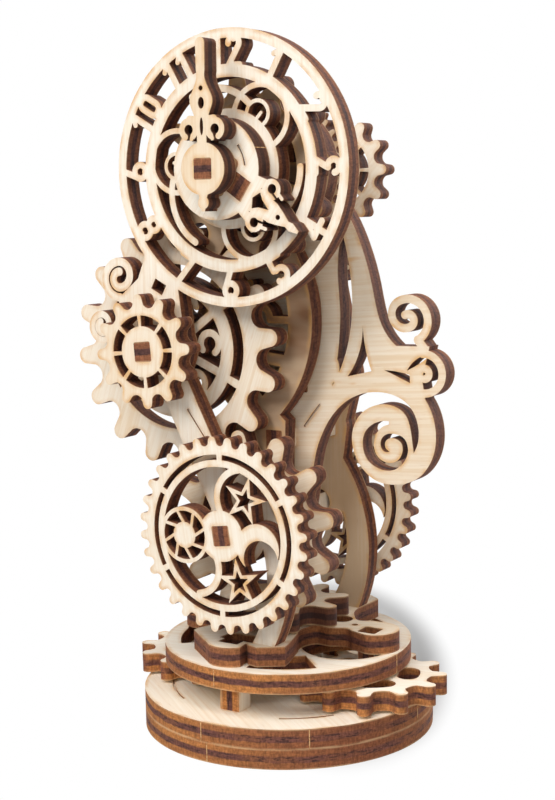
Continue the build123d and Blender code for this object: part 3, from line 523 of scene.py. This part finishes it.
@dataclass
class ClockPlates:
    """All cut pieces of the clock with how each lies in the sheet."""

    ply: BirchPly = field(default_factory=BirchPly)

    def pieces(self) -> list[CutPiece]:
        """List every node with its stock, grain and burn.

        Returns:
            The cut pieces.
        """
        flat = [
            CutPiece("base_lower", Stock.FLAT, -30, Char.TOASTED),
            CutPiece("base_upper", Stock.FLAT, -38, Char.TOASTED, 0.25),
            CutPiece("platform", Stock.FLAT, 10, Char.TOASTED, 0.3),
            CutPiece("cross_plate", Stock.FLAT, 30, Char.BROWNED, warmth=0.3),
            CutPiece("thumb_right", Stock.FLAT, 15, Char.TOASTED, 0.3),
            CutPiece("thumb_left", Stock.FLAT, 60, Char.TOASTED, 0.3),
            CutPiece("sun_pinion", Stock.FLAT),
            CutPiece("crown_gear", Stock.FLAT, 40, Char.BLACKENED_AND_SHADED, warmth=0.3),
        ]
        upright = [
            CutPiece("front_plate", Stock.UPRIGHT, 90, smudge=0.3),
            # Painted shade: the high warmth and brown film on this plate stand in for the shade it sits in.
            CutPiece("inner_plate", Stock.UPRIGHT, warmth=0.9, painted_shade_share=0.8),
            CutPiece("scroll_plate", Stock.UPRIGHT, 4, smudge=0.6, warmth=0.4),
            # Painted shade: the high warmth and brown film on this plate stand in for the shade it sits in.
            CutPiece("rear_plate", Stock.UPRIGHT, 90, warmth=0.8, painted_shade_share=0.35),
            CutPiece("post_front", Stock.ROD_UP, char=Char.TOASTED),
            CutPiece("post_back", Stock.ROD_UP, char=Char.TOASTED),
            CutPiece("wheel_c_front", Stock.UPRIGHT, 98, smudge=0.3),
            CutPiece("gear_c", Stock.UPRIGHT, 20, warmth=0.4),
            CutPiece("wheel_c_back", Stock.UPRIGHT, 60, warmth=0.25),
            CutPiece("wheel_b_front", Stock.UPRIGHT, 85, warmth=0.4),
            CutPiece("gear_b", Stock.UPRIGHT, 70, smudge=0.6, warmth=0.2),
            # Painted shade: the high warmth and brown film on this gear stand in for the shade it sits in.
            CutPiece("gear_a", Stock.UPRIGHT, 10, warmth=0.9, painted_shade_share=0.5),
            CutPiece("hour_wheel", Stock.UPRIGHT, 30),
            CutPiece("hour_hand", Stock.UPRIGHT, 56, Char.BLACKENED_AND_SHADED, 0.3),
            CutPiece("minute_hand", Stock.UPRIGHT, 90, Char.BLACKENED_AND_SHADED, 0.2, warmth=0.65),
            CutPiece("cannon_pinion", Stock.UPRIGHT),
            CutPiece("wheel_a_back", Stock.UPRIGHT, 45),
            CutPiece("idler_pinion", Stock.UPRIGHT),
            CutPiece("idler_wheel", Stock.UPRIGHT, 75),
        ]
        rods = [
            CutPiece("hour_pipe", Stock.ROD_DEPTH, spin_deg=-34),
            CutPiece("hour_key", Stock.ROD_DEPTH, spin_deg=-34),
            CutPiece("minute_shaft", Stock.ROD_DEPTH, spin_deg=90),
            CutPiece("shaft_c", Stock.ROD_DEPTH, smudge=0.4, spin_deg=8),
            CutPiece("shaft_b", Stock.ROD_DEPTH, smudge=0.4, spin_deg=95),
            CutPiece("peg_low", Stock.ROD_DEPTH),
            CutPiece("peg_mid", Stock.ROD_DEPTH),
            CutPiece("peg_left", Stock.ROD_DEPTH),
            CutPiece("peg_right", Stock.ROD_DEPTH),
            CutPiece("idler_pin", Stock.ROD_DEPTH, char=Char.BROWNED),
            CutPiece("centre_shaft", Stock.ROD_UP),
            CutPiece("pin_right", Stock.ROD_UP),
            CutPiece("pin_left", Stock.ROD_UP),
        ]
        return flat + upright + rods

    def dress(self) -> None:
        """Dress every node, each with its own shift of the pattern."""
        for index, piece in enumerate(self.pieces()):
            piece.dress(self.ply, SEED_STEP * index)


@dataclass(frozen=True)
class SnappedWood:
    """Fresh pale wood where a bridge was snapped off. Its noise is in metres, its relief in millimetres."""

    fresh: Colour = srgb(222, 180, 130)
    bruised: Colour = srgb(164, 112, 68)
    fibres: Pattern = Pattern((4000.0, 4000.0, 2500.0), 3.0, 0.6)
    seed: float = 2.0
    bruise_step: Levels = (0.4, 0.62, 0.0, 1.0)
    roughness_step: Levels = (0.3, 0.7, 0.6, 0.8)
    specular: float = 0.2
    relief_strength: float = 1.0
    relief_depth: float = 0.03

    def material(self) -> bpy.types.Material:
        """Fibrous pale wood.

        Returns:
            The finished material.
        """
        material = bpy.data.materials.new("snapped_wood")
        material.use_nodes = True
        pen = NodeSketch(material.node_tree)
        shader = material.node_tree.nodes["Principled BSDF"]
        where = pen.add("ShaderNodeTexCoord").outputs["Object"]
        fibre = pen.noise(where, self.fibres, self.seed)
        colour = pen.mix(pen.ramp(fibre, *self.bruise_step), self.fresh, self.bruised)
        pen.feed(shader.inputs["Base Color"], colour)
        pen.feed(shader.inputs["Roughness"], pen.ramp(fibre, *self.roughness_step))
        shader.inputs["Specular IOR Level"].default_value = self.specular
        pen.bump(shader, fibre, self.relief_strength, self.relief_depth)
        return material


@dataclass(frozen=True)
class Nib:
    """Stub of one bridge: its place on a cut edge in millimetres, its outward side and the sheet's depth."""

    place: Vector
    outward: Vector
    depth: Vector

    def turn(self) -> Quaternion:
        """Turn with X across the stub, Y through the sheet and Z outward."""
        out = self.outward.normalized()
        return Matrix((self.depth.cross(out), self.depth, out)).transposed().to_quaternion()


@dataclass
class HoldingNibs:
    """Pale stubs of the bridges that held the pieces in their sheet, in millimetres and degrees."""

    width: float = 0.13
    length: float = 2.96
    proud: float = 0.06
    ragged: float = 1.2
    ragged_scale: float = 2600.0
    grid: tuple[int, int, int] = (3, 12, 2)
    least: Triple = (0.7, 1.0, 0.7)
    most: Triple = (1.3, 1.0, 1.0)
    seed: int = 11
    base_r: float = 22.6
    lower_height: float = 1.5
    lower_turns: tuple[float, ...] = (269.5, 29.0, 149.0)
    upper_height: float = 4.5
    upper_turns: tuple[float, ...] = (267.0, 309.0, 0.0, 87.0, 178.0)
    platform_r: float = 19.25
    platform_height: float = 11.5
    platform_turns: tuple[float, ...] = (267.0, 359.5, 87.0, 179.5)
    deck_notch: Triple = (1.8, -14.66, 14.5)
    deck_outward: Triple = (0.2, -1.0, 0.0)
    hour_disc_r: float = 7.2
    hour_axis_height: float = 85.4
    hour_turns: tuple[float, ...] = (22.7, 202.7)

    def on_disc(self, radius: float, height: float, turn: float) -> Nib:
        """Nib on the rim of a flat disc.

        Args:
            radius, height: Rim radius and middle height.
            turn: Direction of the nib from above, in degrees.

        Returns:
            The nib.
        """
        out = Vector((math.cos(math.radians(turn)), math.sin(math.radians(turn)), 0))
        return Nib(out * radius + Vector((0, 0, height)), out, Vector((0, 0, 1)))

    def frame_nibs(self) -> list[Nib]:
        """Place the nibs that stay still.

        Returns:
            Nibs on the base discs, the platform and the deck.
        """
        rims = (
            (self.base_r, self.lower_height, self.lower_turns),
            (self.base_r, self.upper_height, self.upper_turns),
            (self.platform_r, self.platform_height, self.platform_turns),
        )
        nibs = [self.on_disc(radius, height, turn) for radius, height, turns in rims for turn in turns]
        nibs.append(Nib(Vector(self.deck_notch), Vector(self.deck_outward), Vector((0, 0, 1))))
        return nibs

    def hour_nibs(self) -> list[Nib]:
        """Place the nibs that turn with the hour hand.

        Returns:
            Nibs on the hand's disc.
        """
        low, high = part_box("hour_hand")
        centre = Vector((0, (low.y + high.y) / 2 / MM, self.hour_axis_height))
        angles = [math.radians(turn) for turn in self.hour_turns]
        outs = [Vector((math.cos(angle), 0, math.sin(angle))) for angle in angles]
        return [Nib(centre + out * self.hour_disc_r, out, Vector((0, 1, 0))) for out in outs]

    def tree(self) -> bpy.types.NodeTree:
        """Geometry Nodes tree that sets one rough stub on every point.

        Returns:
            The tree, with inputs for the stub's sizes and finish.
        """
        tree = bpy.data.node_groups.new("holding_nibs", "GeometryNodeTree")
        tree.interface.new_socket("Geometry", in_out="INPUT", socket_type="NodeSocketGeometry")
        for label in ("Width", "Length", "Proud"):
            tree.interface.new_socket(label, in_out="INPUT", socket_type="NodeSocketFloat")
        tree.interface.new_socket("Finish", in_out="INPUT", socket_type="NodeSocketMaterial")
        tree.interface.new_socket("Geometry", in_out="OUTPUT", socket_type="NodeSocketGeometry")
        pen = NodeSketch(tree)
        given = pen.add("NodeGroupInput").outputs
        size = pen.add("ShaderNodeCombineXYZ")
        pen.feed(size.inputs[0], given["Width"])
        pen.feed(size.inputs[1], given["Length"])
        # The stub is centred on the edge, so half of its height is sunk.
        pen.feed(size.inputs[2], pen.math("MULTIPLY", given["Proud"], 2.0))
        stub = pen.add("GeometryNodeMeshCube")
        pen.feed(stub.inputs["Size"], size.outputs[0])
        for label, count in zip(("Vertices X", "Vertices Y", "Vertices Z"), self.grid):
            stub.inputs[label].default_value = count
        noise = pen.add("ShaderNodeTexNoise")
        noise.inputs["Scale"].default_value = self.ragged_scale
        centred = pen.add("ShaderNodeVectorMath", operation="SUBTRACT")
        pen.feed(centred.inputs[0], noise.outputs["Color"])
        centred.inputs[1].default_value = (NOISE_MIDDLE, NOISE_MIDDLE, NOISE_MIDDLE)
        shift = pen.add("ShaderNodeVectorMath", operation="SCALE")
        pen.feed(shift.inputs[0], centred.outputs[0])
        pen.feed(shift.inputs["Scale"], pen.math("MULTIPLY", given["Proud"], self.ragged))
        rough = pen.add("GeometryNodeSetPosition")
        pen.feed(rough.inputs["Geometry"], stub.outputs["Mesh"])
        pen.feed(rough.inputs["Offset"], shift.outputs[0])
        turn = pen.add("GeometryNodeInputNamedAttribute", data_type="QUATERNION")
        turn.inputs["Name"].default_value = "turn"
        vary = pen.add("FunctionNodeRandomValue", data_type="FLOAT_VECTOR")
        vary.inputs["Min"].default_value = self.least
        vary.inputs["Max"].default_value = self.most
        vary.inputs["Seed"].default_value = self.seed
        spread = pen.add("GeometryNodeInstanceOnPoints")
        pen.feed(spread.inputs["Points"], given["Geometry"])
        pen.feed(spread.inputs["Instance"], rough.outputs[0])
        pen.feed(spread.inputs["Rotation"], turn.outputs[0])
        pen.feed(spread.inputs["Scale"], vary.outputs[0])
        plain = pen.add("GeometryNodeRealizeInstances")
        pen.feed(plain.inputs[0], spread.outputs[0])
        dressed = pen.add("GeometryNodeSetMaterial")
        pen.feed(dressed.inputs["Geometry"], plain.outputs[0])
        pen.feed(dressed.inputs["Material"], given["Finish"])
        pen.feed(pen.add("NodeGroupOutput").inputs[0], dressed.outputs[0])
        return tree

    def grow(
        self, name: str, nibs: list[Nib], body: str, tree: bpy.types.NodeTree, finish: bpy.types.Material
    ) -> None:
        """Make one body's nibs a plain mesh that rides on it.

        Args:
            name: Name of the piece.
            nibs: Where its nibs stand.
            body: Body that carries them.
            tree: The nib tree.
            finish: Material of the stubs.
        """
        points = bpy.data.meshes.new(f"{name}_points")
        points.from_pydata([nib.place * MM for nib in nibs], [], [])
        turns = points.attributes.new("turn", "QUATERNION", "POINT")
        for entry, nib in zip(turns.data, nibs):
            entry.value = nib.turn()
        seat = bpy.data.objects.new(f"{name}_points", points)
        bpy.context.scene.collection.objects.link(seat)
        modifier = seat.modifiers.new("nibs", "NODES")
        modifier.node_group = tree
        given = {
            "Width": self.width * MM,
            "Length": self.length * MM,
            "Proud": self.proud * MM,
            "Finish": finish,
        }
        for item in tree.interface.items_tree:
            if item.in_out == "INPUT" and item.name in given:
                modifier[item.identifier] = given[item.name]
        graph = bpy.context.evaluated_depsgraph_get()
        mesh = bpy.data.meshes.new_from_object(seat.evaluated_get(graph))
        seat.modifiers.remove(modifier)
        bpy.data.objects.remove(seat)
        mesh.name = name
        piece = bpy.data.objects.new(name, mesh)
        bpy.context.scene.collection.objects.link(piece)
        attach(piece, body)
        LOG.info("%s: %d nibs on %s", name, len(nibs), body)

    def build(self) -> None:
        """Make the nibs of the frame and of the hour hand."""
        tree = self.tree()
        finish = SnappedWood().material()
        self.grow("frame_nibs", self.frame_nibs(), "frame", tree, finish)
        self.grow("hour_nibs", self.hour_nibs(), "hour_train", tree, finish)


@dataclass(frozen=True)
class Lamp:
    """One soft square lamp: its place and side in metres, and its watts."""

    name: str
    place: Triple
    side: float
    watts: float

    def hang(self, aim: Vector) -> None:
        """Hang the lamp in the scene.

        Args:
            aim: Point that it lights, in metres.
        """
        data = bpy.data.lights.new(self.name, "AREA")
        data.size = self.side
        data.energy = self.watts
        lamp = bpy.data.objects.new(self.name, data)
        bpy.context.scene.collection.objects.link(lamp)
        place = Vector(self.place)
        turn = (aim - place).to_track_quat("-Z", "Y").to_matrix()
        lamp.matrix_world = Matrix.Translation(place) @ turn.to_4x4()


@dataclass
class Studio:
    """Floor, soft light and the camera at the photograph's angle, in millimetres but for the lamps."""

    eye: Triple = (118.49, -190.62, 80.88)
    ahead: Triple = (-0.52685, 0.83926, -0.13445)
    roll_deg: float = -1.03
    focal_px: float = 1472.8
    long_px: float = 800.0
    sensor: float = 36.0
    nearest: float = 10.0
    farthest: float = 50000.0
    lit_point: Triple = (0.0, 0.0, 50.0)
    lamps: tuple[Lamp, ...] = (
        Lamp("key", (-0.14, -0.62, 0.56), 0.4, 4.4),
        Lamp("fill", (0.42, -0.55, 0.18), 0.5, 0.95),
        Lamp("back", (0.3, 0.58, 0.34), 0.5, 2.8),
        Lamp("top", (0.1, -0.22, 0.75), 0.5, 3.4),
    )
    surround_light: float = 0.2
    floor_half: float = 6000.0
    floor_drop: float = 0.02
    card: Colour = (0.45, 0.45, 0.45, 1.0)
    card_roughness: float = 0.95
    card_specular: float = 0.0
    card_glow: float = 0.05
    shade_middle: Triple = (-10.1, 31.1, 0.0)
    shade_half: Triple = (22.0, 58.0, 75.0)
    shade_turn_deg: float = 32.1
    shade_fade: tuple[float, float] = (0.72, 1.0)

    def camera(self) -> None:
        """Make the camera and set it as the scene's."""
        data = bpy.data.cameras.new("photo_camera")
        data.sensor_width = self.sensor
        data.lens = self.focal_px / self.long_px * self.sensor
        data.clip_start = self.nearest * MM
        data.clip_end = self.farthest * MM
        eye = bpy.data.objects.new("photo_camera", data)
        bpy.context.scene.collection.objects.link(eye)
        ahead = Vector(self.ahead).normalized()
        level = ahead.cross(Vector((0, 0, 1))).normalized()
        up = level.cross(ahead)
        roll = math.radians(self.roll_deg)
        right = math.cos(roll) * level + math.sin(roll) * up
        above = math.cos(roll) * up - math.sin(roll) * level
        turn = Matrix((right, above, -ahead)).transposed()
        eye.matrix_world = Matrix.Translation(Vector(self.eye) * MM) @ turn.to_4x4()
        bpy.context.scene.camera = eye

    def light(self) -> None:
        """Soft key from the front, weaker lamps at the right, behind and above, and a white surround."""
        aim = Vector(self.lit_point) * MM
        for lamp in self.lamps:
            lamp.hang(aim)
        world = bpy.data.worlds.new("white_surround")
        bpy.context.scene.world = world
        world.use_nodes = True
        pen = NodeSketch(world.node_tree)
        back = world.node_tree.nodes["Background"]
        back.inputs["Color"].default_value = WHITE
        pen.feed(back.inputs["Strength"], pen.ramp(self.seen_rays(pen), 0.0, 1.0, self.surround_light, 1.0))

    def seen_rays(self, pen: NodeSketch) -> bpy.types.NodeSocket:
        """Pick the rays that show the surround as it looks: camera, gloss and glass.

        Args:
            pen: Writer for the tree that asks.

        Returns:
            One on those rays and zero on the rest.
        """
        path = pen.add("ShaderNodeLightPath").outputs
        seen = pen.math("ADD", path["Is Camera Ray"], path["Is Glossy Ray"])
        return pen.math("ADD", seen, path["Is Transmission Ray"], clamp=True)

    def white_card(self) -> bpy.types.Material:
        """Card that keeps the clock's shadow behind it and turns plain white around that.

        Returns:
            The finished material.
        """
        material = bpy.data.materials.new("white_card")
        material.use_nodes = True
        tree = material.node_tree
        pen = NodeSketch(tree)
        card = tree.nodes["Principled BSDF"]
        card.inputs["Base Color"].default_value = self.card
        card.inputs["Roughness"].default_value = self.card_roughness
        card.inputs["Specular IOR Level"].default_value = self.card_specular
        card.inputs["Emission Color"].default_value = WHITE
        seen = self.seen_rays(pen)
        pen.feed(card.inputs["Emission Strength"], pen.math("MULTIPLY", seen, self.card_glow))
        pool = pen.add("ShaderNodeMapping", vector_type="TEXTURE")
        pen.feed(pool.inputs["Vector"], pen.add("ShaderNodeTexCoord").outputs["Object"])
        pool.inputs["Location"].default_value = Vector(self.shade_middle) * MM
        pool.inputs["Rotation"].default_value = (0.0, 0.0, math.radians(self.shade_turn_deg))
        pool.inputs["Scale"].default_value = Vector(self.shade_half) * MM
        reach = pen.add("ShaderNodeVectorMath", operation="LENGTH")
        pen.feed(reach.inputs[0], pool.outputs[0])
        far = pen.ramp(reach.outputs["Value"], *self.shade_fade)
        white = pen.add("ShaderNodeEmission")
        blend = pen.add("ShaderNodeMixShader")
        pen.feed(blend.inputs[0], pen.math("MULTIPLY", far, seen))
        pen.feed(blend.inputs[1], card.outputs[0])
        pen.feed(blend.inputs[2], white.outputs[0])
        pen.feed(tree.nodes["Material Output"].inputs["Surface"], blend.outputs[0])
        return material

    def floor(self) -> None:
        """Lay the card under the clock."""
        mesh = bpy.data.meshes.new("floor")
        half = self.floor_half * MM
        drop = -self.floor_drop * MM
        corners = [(-half, -half, drop), (half, -half, drop), (half, half, drop), (-half, half, drop)]
        mesh.from_pydata(corners, [], [(0, 1, 2, 3)])
        mesh.materials.append(self.white_card())
        floor = bpy.data.objects.new("floor", mesh)
        bpy.context.scene.collection.objects.link(floor)

    def build(self) -> None:
        """Set up view, floor, lamps and camera."""
        bpy.context.scene.view_settings.view_transform = "Standard"
        self.floor()
        self.light()
        self.camera()


def main() -> None:
    """Dress the clock, make the nibs and build the studio."""
    logging.basicConfig(level=logging.INFO, format="%(message)s")
    ClockPlates().dress()
    HoldingNibs().build()
    Studio().build()


if __name__ == "__main__":
    main()
